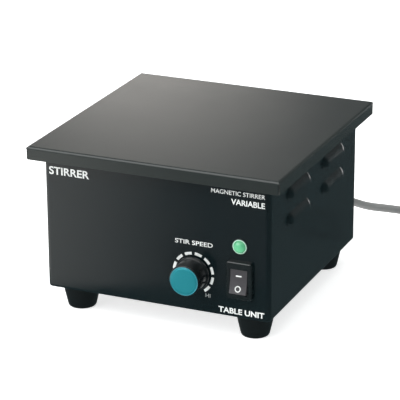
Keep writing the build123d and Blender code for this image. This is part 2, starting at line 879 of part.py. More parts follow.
def board_capacitors():
    cans = []
    for dx, dy, radius, high in ((14, 17, 8, 26), (29, 12, 5, 16)):
        can = on_board(bar(radius, 0, high), dx, dy)
        cans.append(fillet(can.edges().filter_by(GeomType.CIRCLE).sort_by(Axis.Z)[-1], 1.0))
    return group(cans)


def heat_sink():
    sink = block(0, 20, 0, 2, 0, 26)
    for step in range(6):
        x = step * 3.76
        sink += block(x, x + 1.2, 2, 12, 0, 26)
    return on_board(sink, 36, 6)


def power_transistor():
    """Transistor with its tab flat on the heat sink."""
    case = block(0, 10, -1.2, 0, 4, 20)
    case += block(0, 10, -4, -1.2, 4, 13)
    for x in (2.5, 5, 7.5):
        case += block(x - 0.4, x + 0.4, -3, -2.4, 0, 4)
    return on_board(case, 41, 6)


def terminal_block():
    """Eight-way screw terminal near the back edge of the board."""
    strip = block(0, TERMINAL_WAYS * TERMINAL_PITCH, 0, 9, 0, 10)
    for way in range(TERMINAL_WAYS):
        x = (way + 0.5) * TERMINAL_PITCH
        strip -= bar(2.0, 5, 11, x, 3.5)
        strip -= block(x - 1.8, x + 1.8, 7, 10, 1.5, 4.8)
    return on_board(strip, 8, 27)


def board_fuse():
    """Glass fuse and the two clips that hold it."""
    z = 4.5
    fuse = bar_x(2.6, 0, 20, 0, z)
    clips = []
    for x in (1, 15):
        clip = block(x, x + 4, -3.2, 3.2, 0, z + 2)
        clip -= bar_x(2.6, x - 1, x + 5, 0, z) + bar_x(2.0, x - 1, x + 5, 0, z + 2)
        clips.append(clip)
    return on_board(group([fuse] + clips), 24, 22.5)


def transformer_core():
    """Laminated core with a window on each side of its middle leg."""
    half = TRAFO_W / 2
    y0 = TRAFO_Y - TRAFO_D / 2
    y1 = TRAFO_Y + TRAFO_D / 2
    core = block(TRAFO_X - half, TRAFO_X + half, y0, y1, TRAFO_Z, TRAFO_Z + TRAFO_H)
    for side in (-1, 1):
        low, high = sorted((TRAFO_X + side * 8.3, TRAFO_X + side * 16.7))
        core -= block(low, high, y0 - 1, y1 + 1, TRAFO_Z + 8.3, TRAFO_Z + TRAFO_H - 8.3)
    return core


def transformer_windings():
    """Bobbin and coil around the middle leg."""
    depth = TRAFO_D / 2 + 8.5
    z0 = TRAFO_Z + 8.5
    z1 = TRAFO_Z + TRAFO_H - 8.5
    coil = block(TRAFO_X - 16.5, TRAFO_X + 16.5, TRAFO_Y - depth, TRAFO_Y + depth, z0, z1)
    coil = fillet(coil.edges().filter_by(Axis.Z), 3.0)
    leg = TRAFO_D / 2 + 0.1
    return coil - block(
        TRAFO_X - 8.4, TRAFO_X + 8.4, TRAFO_Y - leg, TRAFO_Y + leg, z0 - 1, z1 + 1
    )


def transformer_frame():
    """Strap under the core with an ear and an upright at each end."""
    half = TRAFO_W / 2
    y0 = TRAFO_Y - TRAFO_D / 2
    y1 = TRAFO_Y + TRAFO_D / 2
    ear = half + 10
    frame = block(TRAFO_X - ear, TRAFO_X + ear, y0, y1, FLOOR_Z1, TRAFO_Z)
    for side in (-1, 1):
        low, high = sorted((TRAFO_X + side * half, TRAFO_X + side * (half + 1.5)))
        frame += block(low, high, y0, y1, TRAFO_Z, TRAFO_Z + 36)
    for x, y in transformer_screw_places():
        frame -= bar(M3_R + 0.1, FLOOR_Z1 - 1, TRAFO_Z + 1, x, y)
    return frame


def earth_terminal():
    """Ring terminal held by a nut on a stud in the floor plate."""
    x, y = 40, 62
    stud = bar(2.0, FLOOR_Z1, FLOOR_Z1 + 10, x, y)
    tag = ring(4.0, 2.0, FLOOR_Z1, FLOOR_Z1 + 1, x, y)
    tag += block(x + 3.6, x + 9, y - 1.6, y + 1.6, FLOOR_Z1, FLOOR_Z1 + 1)
    return group([stud, tag, nut(7, 4.4, 2.0, FLOOR_Z1 + 1, FLOOR_Z1 + 5, x, y, True)])


# Mains cord


def cord_boot():
    """Ribbed strain relief: a flange outside the back wall and a threaded neck inside."""
    y = BACK
    profile = [(0, y - 9), (6.0, y - 9), (6.0, y), (9.0, y), (9.0, y + 2.5), (7.2, y + 3.5)]
    ribs = 5
    for rib in range(ribs):
        radius = 7.0 - 0.5 * rib
        start = y + 4 + rib * 2.8
        profile += [(radius, start), (radius, start + 1.6)]
        profile += [(radius - 0.9, start + 1.9), (radius - 0.9, start + 2.6)]
    profile += [(4.6, y + BOOT_OUT - 1.5), (4.3, y + BOOT_OUT), (0, y + BOOT_OUT)]
    return spun_y(profile, CORD_X, CORD_Z)


def boot_nut():
    hexagon = extrude(RegularPolygon(9, 6, major_radius=False), 4)
    return Pos(CORD_X, BACK_IN - 4, CORD_Z) * Rot(-90, 0, 0) * hexagon - bar_y(
        6.0, BACK_IN - 6, BACK_IN + 1, CORD_X, CORD_Z
    )


def bend_radii(points, share=0.45):
    """Largest even arc at each inner point: a share of the shorter run over tan(half turn)."""
    radii = []
    for before, here, after in zip(points, points[1:], points[2:]):
        run_in = Vector(*here) - Vector(*before)
        run_out = Vector(*after) - Vector(*here)
        turn = math.radians(run_in.get_angle(run_out))
        radii.append(share * min(run_in.length, run_out.length) / math.tan(turn / 2))
    return radii


def round_lead(points, radius):
    """Round cord of straight runs joined by tangent arcs."""
    path = FilletPolyline(*points, radius=bend_radii(points))
    start = path @ 0
    section = Plane(origin=start, z_dir=path % 0) * Circle(radius)
    return sweep(section, path=path), path.length


def cord_coil():
    """Outer shape of the stored turns, with a groove under it for the tie."""
    half = COIL_RINGS * CORD_R
    coil = ring(COIL_MEAN_R + half, COIL_MEAN_R - half, 0, COIL_H, COIL_X, COIL_Y)
    coil = fillet(coil.edges().filter_by(GeomType.CIRCLE).group_by(Axis.Z)[-1], 2.5)
    x = COIL_X - COIL_MEAN_R
    way = half + 3
    return coil - block(x - way, x + way, COIL_Y - TIE_W, COIL_Y + TIE_W, -1, TIE_T)


def cord_tie():
    """Strap round the stored turns, on the side that faces the stirrer."""
    x = COIL_X - COIL_MEAN_R
    inside = COIL_RINGS * CORD_R + TIE_T
    outside = inside + TIE_T
    y0 = COIL_Y - TIE_W / 2
    y1 = COIL_Y + TIE_W / 2
    outer = block(x - outside, x + outside, y0, y1, 0, COIL_H + 2 * TIE_T)
    outer = fillet(outer.edges().filter_by(Axis.Y).group_by(Axis.Z)[-1], 3.0)
    outer = fillet(outer.edges().filter_by(Axis.Y).group_by(Axis.Z)[0], TIE_T)
    inner = block(x - inside, x + inside, y0 - 1, y1 + 1, TIE_T, COIL_H + TIE_T)
    return outer - fillet(inner.edges().filter_by(Axis.Y).group_by(Axis.Z)[-1], 3.0 - TIE_T)


def plug_body():
    """Moulded plug that lies on the coil, its pins towards the front."""
    body = block(
        PLUG_X - PLUG_W / 2, PLUG_X + PLUG_W / 2, PLUG_FRONT, PLUG_BACK, COIL_H, COIL_H + PLUG_H
    )
    body = fillet(body.edges().filter_by(Axis.Y), 5.0)
    neck = Cone(7.0, 4.4, PLUG_NECK, align=FROM_LOW)
    return body + Pos(PLUG_X, PLUG_BACK, PLUG_Z) * Rot(-90, 0, 0) * neck


def plug_blades():
    """Two flat blades with a hole near their tips, and a round earth pin above them."""
    tip = PLUG_FRONT - BLADE_LENGTH
    pins = []
    for side in (-1, 1):
        x = PLUG_X + side * BLADE_PITCH / 2
        blade = block(x - 0.75, x + 0.75, tip, PLUG_FRONT, PLUG_Z - 5, PLUG_Z + 1.3)
        pins.append(blade - bar_x(1.5, x - 2, x + 2, tip + 4, PLUG_Z - 1.85))
    pins.append(bar_y(2.0, tip - 3, PLUG_FRONT, PLUG_X, PLUG_Z + 4.6))
    return group(pins)


def power_cord():
    cord, length = round_lead(CORD_ROUTE, CORD_R)
    print("cord tube length", round(length, 1), "volume", round(cord.volume))
    print("cord tube section times length", round(math.pi * CORD_R**2 * length))
    print("cord radii", [round(r, 1) for r in bend_radii(CORD_ROUTE)])
    return cord


def lead(route):
    """Thin lead whose ends stop just short of what they are fastened to."""
    points = [Vector(*point) for point in route]
    first = points[0] + (points[1] - points[0]).normalized() * LEAD_END_GAP
    last = points[-1] + (points[-2] - points[-1]).normalized() * LEAD_END_GAP
    return round_lead([first] + points[1:-1] + [last], LEAD_R)[0]


def wiring():
    """Cord tail inside the case and the loose leads between the electrical pieces."""
    tail = bar_y(CORD_R, BACK - 21, BACK - 9, CORD_X, CORD_Z)
    return group([tail] + [lead(route) for route in LEAD_ROUTES])


def all_pieces():
    """Every piece by name."""
    pieces = {
        "top_plate": top_plate(),
        "plate_studs": plate_studs(),
        "plate_nuts": plate_nuts(),
        "case_shell": case_shell(),
        "bottom_plate": bottom_plate(),
        "bottom_plate_screws": bottom_plate_screws(),
        "foot_screws": foot_screws(),
        "foot_nuts": foot_nuts(),
        "knob_body": knob_body(),
        "knob_cap": knob_cap(),
        "knob_set_screw": knob_set_screw(),
        "pot_shaft": pot_shaft(),
        "pot_housing": pot_housing(),
        "pot_nut": pot_nut(),
        "lamp_lens": lamp_lens(),
        "lamp_bulb": lamp_bulb(),
        "lamp_clip": lamp_clip(),
        "switch_housing": switch_housing(),
        "switch_rocker": switch_rocker(),
        "switch_terminals": switch_terminals(),
        "motor_can": motor_can(),
        "motor_end_bell": motor_end_bell(),
        "motor_magnets": motor_magnets(),
        "motor_bushes": motor_bushes(),
        "carbon_brushes": carbon_brushes(),
        "armature_core": armature_core(),
        "armature_windings": armature_windings(),
        "commutator": commutator(),
        "rotor_shaft": rotor_shaft(),
        "magnet_hub": magnet_hub(),
        "hub_set_screw": hub_set_screw(),
        "yoke_bar": yoke_bar(),
        "drive_magnets": drive_magnets(),
        "motor_bracket": motor_bracket(),
        "bracket_grommets": bracket_grommets(),
        "bracket_screws": bracket_screws(),
        "control_board": control_board(),
        "board_standoffs": board_standoffs(),
        "small_screws": small_screws(),
        "board_capacitors": board_capacitors(),
        "heat_sink": heat_sink(),
        "power_transistor": power_transistor(),
        "terminal_block": terminal_block(),
        "board_fuse": board_fuse(),
        "transformer_core": transformer_core(),
        "transformer_windings": transformer_windings(),
        "transformer_frame": transformer_frame(),
        "earth_terminal": earth_terminal(),
        "cord_boot": cord_boot(),
        "boot_nut": boot_nut(),
        "power_cord": power_cord(),
        "cord_coil": cord_coil(),
        "cord_tie": cord_tie(),
        "plug_body": plug_body(),
        "plug_blades": plug_blades(),
        "wiring": wiring(),
    }
    for place, (x, y) in foot_places().items():
        pieces["foot_" + place] = rubber_foot(x, y)
    return pieces


os.makedirs("parts", exist_ok=True)
for name, piece in all_pieces().items():
    export_step(piece, "parts/" + name + ".step")
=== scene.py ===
"""A magnetic stirrer with a square steel plate: its looks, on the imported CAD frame."""

import json
from math import cos, pi, radians, sin, tau

import bmesh
import bpy
from mathutils import Matrix, Vector


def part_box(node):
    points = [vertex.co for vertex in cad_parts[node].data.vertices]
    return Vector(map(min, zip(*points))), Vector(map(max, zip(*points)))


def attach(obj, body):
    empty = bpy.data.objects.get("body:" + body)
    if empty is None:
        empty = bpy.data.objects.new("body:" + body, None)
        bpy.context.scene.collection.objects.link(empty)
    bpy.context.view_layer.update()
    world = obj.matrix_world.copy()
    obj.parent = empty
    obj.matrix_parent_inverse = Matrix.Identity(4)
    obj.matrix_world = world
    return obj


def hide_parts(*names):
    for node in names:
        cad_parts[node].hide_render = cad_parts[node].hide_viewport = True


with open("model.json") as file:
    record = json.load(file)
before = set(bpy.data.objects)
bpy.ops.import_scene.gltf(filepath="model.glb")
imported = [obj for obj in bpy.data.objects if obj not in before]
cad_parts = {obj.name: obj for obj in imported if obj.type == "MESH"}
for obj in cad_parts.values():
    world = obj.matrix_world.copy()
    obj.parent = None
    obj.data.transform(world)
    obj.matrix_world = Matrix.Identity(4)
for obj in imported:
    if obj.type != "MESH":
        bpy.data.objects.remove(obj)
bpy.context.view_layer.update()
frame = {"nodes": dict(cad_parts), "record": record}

MM = 0.001
MICRON = 0.000001
BLACK = (0.0, 0.0, 0.0, 1.0)


def centre_of(node):
    """The middle of a CAD node's box, in millimetres."""
    low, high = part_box(node)
    return (low + high) / 2 / MM


# Places on the front panel, in millimetres
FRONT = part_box("case_shell")[0].y / MM
KNOB_X, _, KNOB_Z = centre_of("knob_cap")
LAMP_X, _, LAMP_Z = centre_of("lamp_lens")
SWITCH_X, _, SWITCH_Z = centre_of("switch_terminals")
ROCKER_PIVOT_Y = -92.0
ROCKER_TILT = -10.0
ROCKER_HALF = 9.1
PRINT_SUNK = 0.02
PRINT_PROUD = 0.09
CAPITAL_SHARE = 0.7
SKIRT_FACE = -94.2
POINTER_DROP = 12.6
DIAL_MARKS = 10
DIAL_STEP = 30.0
DIAL_START = 225.0
DIAL_R = (14.3, 16.4)

# The cord, its coil and its plug, in millimetres
CORD_D = 6.5
CORD_EXIT = (58.0, 111.0, 34.0)
CORD_ROUTE = [
    CORD_EXIT, (58, 125, 34), (61.2, 137.6, 31.4), (67.8, 148.2, 27.2), (77.8, 156.2, 21.6),
    (93, 163, 19.6), (111.5, 169, 17.4), (131, 172, 9.4), (149, 172.5, 3.25),
]
COIL_X = 170.0
COIL_Y = 130.0
COIL_MEAN_R = 36.0
COIL_R = (COIL_MEAN_R - CORD_D, COIL_MEAN_R, COIL_MEAN_R + CORD_D)
COIL_Z = (0.5 * CORD_D, 1.5 * CORD_D, 2.5 * CORD_D)
COIL_TURNS = 7
LAST_TURN = 0.25
SLIDE_START = 0.75
TURN_POINTS = 16
RING_OF_TURN = (2, 1, 0, 0, 1, 2, 2, 1)
LAYER_OF_TURN = (0, 0, 0, 1, 1, 1, 2, 2)
PLUG_R = 33.0
PLUG_X = COIL_X + PLUG_R
PLUG_Z = 27.0
PLUG_TIP = COIL_Y - 38.0
PLUG_NECK_START = 114.0

# The camera
TARGET = Vector((4.59, -20.27, 77.56)) * MM
BACKWARD = Vector((0.37543, -0.85767, 0.35135))
DISTANCE = 1605.75 * MM
CAMERA_ROLL = -0.32
CAMERA_LENS = 190.9
SENSOR_WIDTH = 36.0


# Materials


def material(name):
    """A new node material: its tree and its Principled shader."""
    made = bpy.data.materials.new(name)
    made.use_nodes = True
    tree = made.node_tree
    return made, tree, tree.nodes["Principled BSDF"]


def noise(tree, scale, detail=4.0, rough=0.55, stretch=(1.0, 1.0, 1.0)):
    """A noise in metres, stretched along the object's axes; the output socket."""
    place = tree.nodes.new("ShaderNodeTexCoord")
    size = tree.nodes.new("ShaderNodeMapping")
    size.inputs["Scale"].default_value = stretch
    made = tree.nodes.new("ShaderNodeTexNoise")
    made.inputs["Scale"].default_value = scale
    made.inputs["Detail"].default_value = detail
    made.inputs["Roughness"].default_value = rough
    tree.links.new(place.outputs["Object"], size.inputs["Vector"])
    tree.links.new(size.outputs["Vector"], made.inputs["Vector"])
    return made.outputs["Fac"]


def spread(tree, source, low, high, start=0.35, end=0.65):
    """The source's middle range spread from low to high; the output socket."""
    made = tree.nodes.new("ShaderNodeMapRange")
    made.inputs["From Min"].default_value = start
    made.inputs["From Max"].default_value = end
    made.inputs["To Min"].default_value = low
    made.inputs["To Max"].default_value = high
    tree.links.new(source, made.inputs["Value"])
    return made.outputs["Result"]


def between(tree, source, dark, light):
    """A colour that goes from dark to light as the source goes from 0 to 1."""
    made = tree.nodes.new("ShaderNodeValToRGB")
    made.color_ramp.elements[0].color = (*dark, 1.0)
    made.color_ramp.elements[1].color = (*light, 1.0)
    tree.links.new(source, made.inputs["Fac"])
    return made.outputs["Color"]


def bumped(tree, shader, source, height):
    """Small relief on the surface, its height in metres."""
    made = tree.nodes.new("ShaderNodeBump")
    made.inputs["Strength"].default_value = 1.0
    made.inputs["Distance"].default_value = height
    tree.links.new(source, made.inputs["Height"])
    tree.links.new(made.outputs["Normal"], shader.inputs["Normal"])


def edge_wear(tree):
    """1 on sharp outer edges and 0 elsewhere, from the geometry's pointiness."""
    made = tree.nodes.new("ShaderNodeNewGeometry")
    return spread(tree, made.outputs["Pointiness"], 0.0, 1.0, 0.52, 0.62)


def mixed(tree, factor, first, second):
    """The second colour over the first by the factor; the output socket."""
    made = tree.nodes.new("ShaderNodeMix")
    made.data_type = "RGBA"
    tree.links.new(factor, made.inputs["Factor"])
    tree.links.new(first, made.inputs[6])
    tree.links.new(second, made.inputs[7])
    return made.outputs[2]


def finish_of(name, dark, light, rough, grain, height, metallic=0.0, stretch=(1, 1, 1), wear=None):
    """A moulded, cast or coated surface: mottled colour, uneven gloss and fine relief."""
    made, tree, shader = material(name)
    cloudy = noise(tree, grain * 0.06, 3.0)
    fine = noise(tree, grain, 5.0, 0.6, stretch)
    colour = between(tree, spread(tree, cloudy, 0.0, 1.0), dark, light)
    if wear is not None:
        bare = between(tree, fine, wear, tuple(0.8 * c for c in wear))
        colour = mixed(tree, edge_wear(tree), colour, bare)
    tree.links.new(colour, shader.inputs["Base Color"])
    tree.links.new(spread(tree, cloudy, rough - 0.03, rough + 0.04), shader.inputs["Roughness"])
    shader.inputs["Metallic"].default_value = metallic
    bumped(tree, shader, fine, height)
    return made


def case_paint():
    """Semi-gloss near-black enamel on sheet steel, with a light orange peel."""
    return finish_of(
        "case_enamel", (0.0030, 0.0090, 0.0108), (0.0038, 0.0110, 0.0128), 0.2, 600.0, 2 * MICRON,
        wear=(0.005, 0.011, 0.013),
    )


def plate_coat():
    """Satin dark coating of the plate, with faint rubbed marks from glassware."""
    made, tree, shader = material("plate_coating")
    cloudy = noise(tree, 22.0, 4.0, 0.6)
    fine = noise(tree, 900.0, 4.0, 0.6)
    rubs = noise(tree, 26.0, 5.0, 0.55)
    base = between(tree, spread(tree, cloudy, 0.0, 1.0), (0.010, 0.016, 0.016), (0.013, 0.020, 0.019))
    worn = between(tree, fine, (0.016, 0.022, 0.021), (0.022, 0.028, 0.027))
    tree.links.new(mixed(tree, edge_wear(tree), base, worn), shader.inputs["Base Color"])
    tree.links.new(spread(tree, rubs, 0.24, 0.27, 0.3, 0.7), shader.inputs["Roughness"])
    bumped(tree, shader, fine, 2 * MICRON)
    return made


def metal(name, dark, light, rough, stretch=(1, 1, 1)):
    """A plated, cast or machined metal with fine uneven marks."""
    return finish_of(name, dark, light, rough, 500.0, 20 * MICRON, 1.0, stretch)


def plastic(name, colour, rough, grain=900.0, height=20 * MICRON, coat=0.0):
    """A moulded plastic or rubber of one colour, with its moulded texture."""
    dark = tuple(0.85 * c for c in colour)
    light = tuple(min(1.0, 1.12 * c) for c in colour)
    made = finish_of(name, dark, light, rough, grain, height)
    shader = made.node_tree.nodes["Principled BSDF"]
    shader.inputs["Coat Weight"].default_value = coat
    shader.inputs["Coat Roughness"].default_value = 0.06
    return made


def brushed_teal():
    """Spun and dyed aluminium-look foil of the knob's cap, brushed in circles."""
    made, tree, shader = material("teal_cap")
    place = tree.nodes.new("ShaderNodeTexCoord")
    shift = tree.nodes.new("ShaderNodeMapping")
    shift.inputs["Location"].default_value = (-KNOB_X * MM, 0.0, -KNOB_Z * MM)
    tree.links.new(place.outputs["Object"], shift.inputs["Vector"])
    rings = tree.nodes.new("ShaderNodeTexWave")
    rings.wave_type = "RINGS"
    rings.rings_direction = "Y"
    rings.inputs["Scale"].default_value = 900.0
    rings.inputs["Distortion"].default_value = 3.0
    rings.inputs["Detail"].default_value = 2.0
    tree.links.new(shift.outputs["Vector"], rings.inputs["Vector"])
    colour = between(tree, rings.outputs["Fac"], (0.010, 0.250, 0.300), (0.016, 0.290, 0.340))
    tree.links.new(colour, shader.inputs["Base Color"])
    tree.links.new(spread(tree, rings.outputs["Fac"], 0.30, 0.40, 0, 1), shader.inputs["Roughness"])
    shader.inputs["Metallic"].default_value = 0.35
    bumped(tree, shader, rings.outputs["Fac"], 8 * MICRON)
    return made


def lit_lens():
    """Pale green lens, cloudy and lit from inside."""
    made, tree, shader = material("green_lens")
    cloudy = noise(tree, 180.0, 3.0)
    colour = between(tree, spread(tree, cloudy, 0.0, 1.0), (0.10, 0.44, 0.22), (0.15, 0.54, 0.28))
    tree.links.new(colour, shader.inputs["Base Color"])
    tree.links.new(colour, shader.inputs["Emission Color"])
    shader.inputs["Emission Strength"].default_value = 0.16
    shader.inputs["Roughness"].default_value = 0.16
    shader.inputs["Coat Weight"].default_value = 0.6
    shader.inputs["Coat Roughness"].default_value = 0.05
    bumped(tree, shader, cloudy, 50 * MICRON)
    return made


def clear_glass():
    """Thin clear glass with faint waves."""
    made, tree, shader = material("clear_glass")
    waves = noise(tree, 60.0, 2.0)
    colour = between(tree, waves, (0.82, 0.88, 0.88), (0.92, 0.96, 0.96))
    tree.links.new(colour, shader.inputs["Base Color"])
    shader.inputs["Transmission Weight"].default_value = 0.85
    shader.inputs["Roughness"].default_value = 0.08
    bumped(tree, shader, waves, 50 * MICRON)
    return made


def print_ink(name, colour):
    """Screen printed ink, slightly uneven in cover."""
    return finish_of(name, tuple(0.82 * c for c in colour), colour, 0.5, 1500.0, 10 * MICRON)


MATERIALS = {
    "case_paint": case_paint(),
    "plate_coat": plate_coat(),
    "zinc_steel": metal("zinc_plating", (0.42, 0.43, 0.44), (0.58, 0.59, 0.60), 0.32),
    "bright_steel": metal("ground_steel", (0.58, 0.58, 0.59), (0.72, 0.72, 0.73), 0.2, (1, 1, 8)),
    "lamination_steel": metal("laminations", (0.10, 0.10, 0.11), (0.2, 0.2, 0.21), 0.45, (1, 1, 30)),
    "aluminium": metal("extruded_aluminium", (0.56, 0.57, 0.58), (0.7, 0.7, 0.72), 0.36, (1, 1, 0.1)),
    "copper": metal("enamelled_copper", (0.55, 0.22, 0.09), (0.75, 0.36, 0.18), 0.28, (1, 1, 12)),
    "bronze": metal("sintered_bronze", (0.42, 0.29, 0.14), (0.58, 0.42, 0.22), 0.42),
    "magnet": metal("nickelled_magnet", (0.16, 0.16, 0.17), (0.24, 0.24, 0.25), 0.3),
    "carbon": plastic("brush_carbon", (0.05, 0.05, 0.05), 0.6),
    "black_plastic": plastic("black_moulding", (0.007, 0.012, 0.013), 0.26, 500.0, 4 * MICRON, 0.2),
    "teal_plastic": brushed_teal(),
    "green_lens": lit_lens(),
    "glass": clear_glass(),
    "foot_rubber": plastic("foot_rubber", (0.004, 0.007, 0.008), 0.42, 500.0, 10 * MICRON),
    "board_green": plastic("board_laminate", (0.03, 0.16, 0.07), 0.35),
    "nylon": plastic("white_nylon", (0.75, 0.74, 0.69), 0.42),
    "capacitor_sleeve": plastic("capacitor_sleeve", (0.02, 0.035, 0.11), 0.3),
    "cord_grey": plastic("cord_sheath", (0.36, 0.36, 0.355), 0.45, 500.0, 60 * MICRON),
    "lead_insulation": plastic("lead_insulation", (0.3, 0.31, 0.34), 0.4),
}
WHITE_INK = print_ink("white_ink", (0.92, 0.94, 0.92))
GREY_INK = print_ink("grey_ink", (0.42, 0.44, 0.43))
ROCKER_GREY = plastic("rocker_grey", (0.058, 0.055, 0.060), 0.38, 400.0, 4 * MICRON)
# A lighter copy of the lens's green for the lamp's flange ring: a painted highlight.
LENS_RIM_HIGHLIGHT = plastic("lens_rim_highlight", (0.60, 0.90, 0.74), 0.15, 300.0, 4 * MICRON, 0.6)
# A lighter copy of the cap's teal for the knob's rim: a painted highlight on its chamfer.
TEAL_RIM_HIGHLIGHT = plastic("teal_rim_highlight", (0.05, 0.36, 0.44), 0.3, 300.0, 4 * MICRON, 0.3)
KNOB_BLACK = plastic("knob_black", (0.005, 0.007, 0.008), 0.3, 500.0, 2 * MICRON, 0.15)


# Building pieces


def placed(name, data):
    """A new object in the scene."""
    made = bpy.data.objects.new(name, data)
    bpy.context.scene.collection.objects.link(made)
    return made


def piece(name, mesh, slot, body="case", smooth=True, look=None):
    """A new object from a mesh, with the material of its record slot (or the given look) and its body."""
    made = placed(name, mesh)
    made.data.materials.append(look or MATERIALS[slot])
    for face in made.data.polygons:
        face.use_smooth = smooth
    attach(made, body)
    return made


def mesh_from(name, build):
    """A mesh made by build(bm), its normals turned outwards."""
    work = bmesh.new()
    build(work)
    bmesh.ops.remove_doubles(work, verts=work.verts, dist=1e-7)
    bmesh.ops.recalc_face_normals(work, faces=work.faces)
    mesh = bpy.data.meshes.new(name)
    work.to_mesh(mesh)
    work.free()
    return mesh


def at(x, y, z):
    """A point given in millimetres."""
    return Vector((x, y, z)) * MM


def turned(profile, centre, axis, steps=96):
    """Builder of a turned piece: (radius, distance along the axis) pairs, in order."""

    def build(work):
        loops = []
        for radius, along in profile:
            loop = []
            for step in range(steps if radius > 0 else 1):
                angle = tau * step / steps
                side = (radius * cos(angle), radius * sin(angle))
                if axis == "Y":
                    place = (centre[0] + side[0], along, centre[2] + side[1])
                else:
                    place = (centre[0] + side[0], centre[1] + side[1], along)
                loop.append(work.verts.new(at(*place)))
            loops.append(loop)
        for first, second in zip(loops, loops[1:]):
            join_loops(work, first, second, steps)

    return build


def join_loops(work, first, second, steps):
    """Faces between two rings of points, either of which may be one point."""
    for step in range(steps):
        after = (step + 1) % steps
        corners = [first[step % len(first)]]
        if len(first) > 1:
            corners.append(first[after])
        if len(second) > 1:
            corners.append(second[after])
        corners.append(second[step % len(second)])
        work.faces.new(corners)


def prism(outline, low, high, place):
    """Builder of a flat-sided piece: place(u, v, w) turns its points into the frame."""

    def build(work):
        bottom = [work.verts.new(place(u, v, low)) for u, v in outline]
        top = [work.verts.new(place(u, v, high)) for u, v in outline]
        work.faces.new(bottom)
        work.faces.new(top)
        for i in range(len(outline)):
            j = (i + 1) % len(outline)
            work.faces.new((bottom[i], bottom[j], top[j], top[i]))

    return build


def rounded_outline(width, height, radius, steps=6):
    """Outline of a rectangle with round corners, centred on the origin."""
    points = []
    for quarter in range(4):
        sx = (1, -1, -1, 1)[quarter]
        sy = (1, 1, -1, -1)[quarter]
        for step in range(steps + 1):
            angle = pi / 2 * (quarter + step / steps)
            points.append((
                sx * (width / 2 - radius) + radius * cos(angle),
                sy * (height / 2 - radius) + radius * sin(angle),
            ))
    return points


def soften(obj, width):
    """Rounds the sharp edges of a piece."""
    bevel = obj.modifiers.new("edges", "BEVEL")
    bevel.width = width * MM
    bevel.segments = 3
    bevel.limit_method = "ANGLE"
    bevel.angle_limit = radians(40.0)
    bevel.harden_normals = True


# The case, plate and feet


def dress_cad():
    """Gives every carried-over CAD node the material of its record slot."""
    for part in frame["record"]["subparts"]:
        node = frame["nodes"][part["node"]]
        node.data.materials.clear()
        node.data.materials.append(MATERIALS[part["material_slot"]])


def make_feet():
    """Four tapered rubber feet with a rounded toe and a thin collar under the case."""
    profile = [
        (0, 0.0), (9.4, 0.0), (10.2, 0.3), (10.7, 1.0), (11.0, 2.0), (12.6, 9.0), (14.0, 15.6),
        (14.4, 17.2), (14.6, 17.8), (14.6, 18.6), (14.4, 19.0), (0, 19.0),
    ]
    for name in ("foot_front_left", "foot_front_right", "foot_rear_left", "foot_rear_right"):
        mesh = mesh_from(name + "_rubber", turned(profile, centre_of(name), "Z", 72))
        foot = piece(name + "_rubber", mesh, "foot_rubber")
        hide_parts(name)


# The front panel


def on_panel(u, v, w):
    """A point on the front panel: across, up, and out of it."""
    return at(u, FRONT - w, v)


def dial_marks():
    """Ten curved dashes round the knob, from low on the left to low on the right."""
    half = 10.5
    for index in range(DIAL_MARKS):
        middle = DIAL_START - DIAL_STEP * index
        outline = []
        for radius, start, end in ((DIAL_R[1], -half, half), (DIAL_R[0], half, -half)):
            for step in range(7):
                angle = radians(middle + start + (end - start) * step / 6)
                outline.append((KNOB_X + radius * cos(angle), KNOB_Z + radius * sin(angle)))
        name = f"dial_mark_{index + 1}"
        mesh = mesh_from(name, prism(outline, -PRINT_SUNK, PRINT_PROUD, on_panel))
        piece(name, mesh, "nylon", smooth=False, look=WHITE_INK)


def lettering(name, words, x, z, height, width, bold, look=WHITE_INK):
    """Words printed on the panel, their left end at x and their foot at z; height is a capital's."""
    curve = bpy.data.curves.new(name, "FONT")
    curve.body = words
    curve.size = height * MM / CAPITAL_SHARE
    curve.extrude = 0.05 * MM
    curve.offset = bold * MM
    drawn = placed(name + "_curve", curve)
    bpy.context.view_layer.update()
    mesh = bpy.data.meshes.new_from_object(drawn.evaluated_get(bpy.context.evaluated_depsgraph_get()))
    bpy.data.objects.remove(drawn)
    low = min(v.co.x for v in mesh.vertices)
    long = max(v.co.x for v in mesh.vertices) - low
    stretch = width * MM / long
    for vertex in mesh.vertices:
        u, v, w = vertex.co
        vertex.co = at(x, FRONT, z) + Vector(((u - low) * stretch, -w - PRINT_SUNK * MM, v))
    mesh.name = name
    piece(name, mesh, "nylon", smooth=False, look=look)


def panel_prints():
    """The dial's marks and generic words on the front: what the thing is, and the ends of its dial."""
    dial_marks()
    lettering("print_low", "LO", KNOB_X - 13.6, 31.6, 2.9, 4.6, 0.04, GREY_INK)
    lettering("print_high", "HI", KNOB_X + 9.6, 31.6, 2.9, 3.8, 0.04, GREY_INK)
    lettering("print_speed", "STIR SPEED", 15.6, 71.0, 3.3, 29.8, 0.04)
    lettering("print_left", "STIRRER", -85.9, 110.0, 5.8, 32.8, 0.16)
    lettering("print_right", "MAGNETIC STIRRER", 44.3, 113.9, 3.2, 41.6, 0.03)
    lettering("print_kind", "VARIABLE", 59.8, 106.9, 4.2, 26.0, 0.12)
    lettering("print_use", "TABLE UNIT", 49.8, 22.0, 4.2, 36.0, 0.16)


# The knob


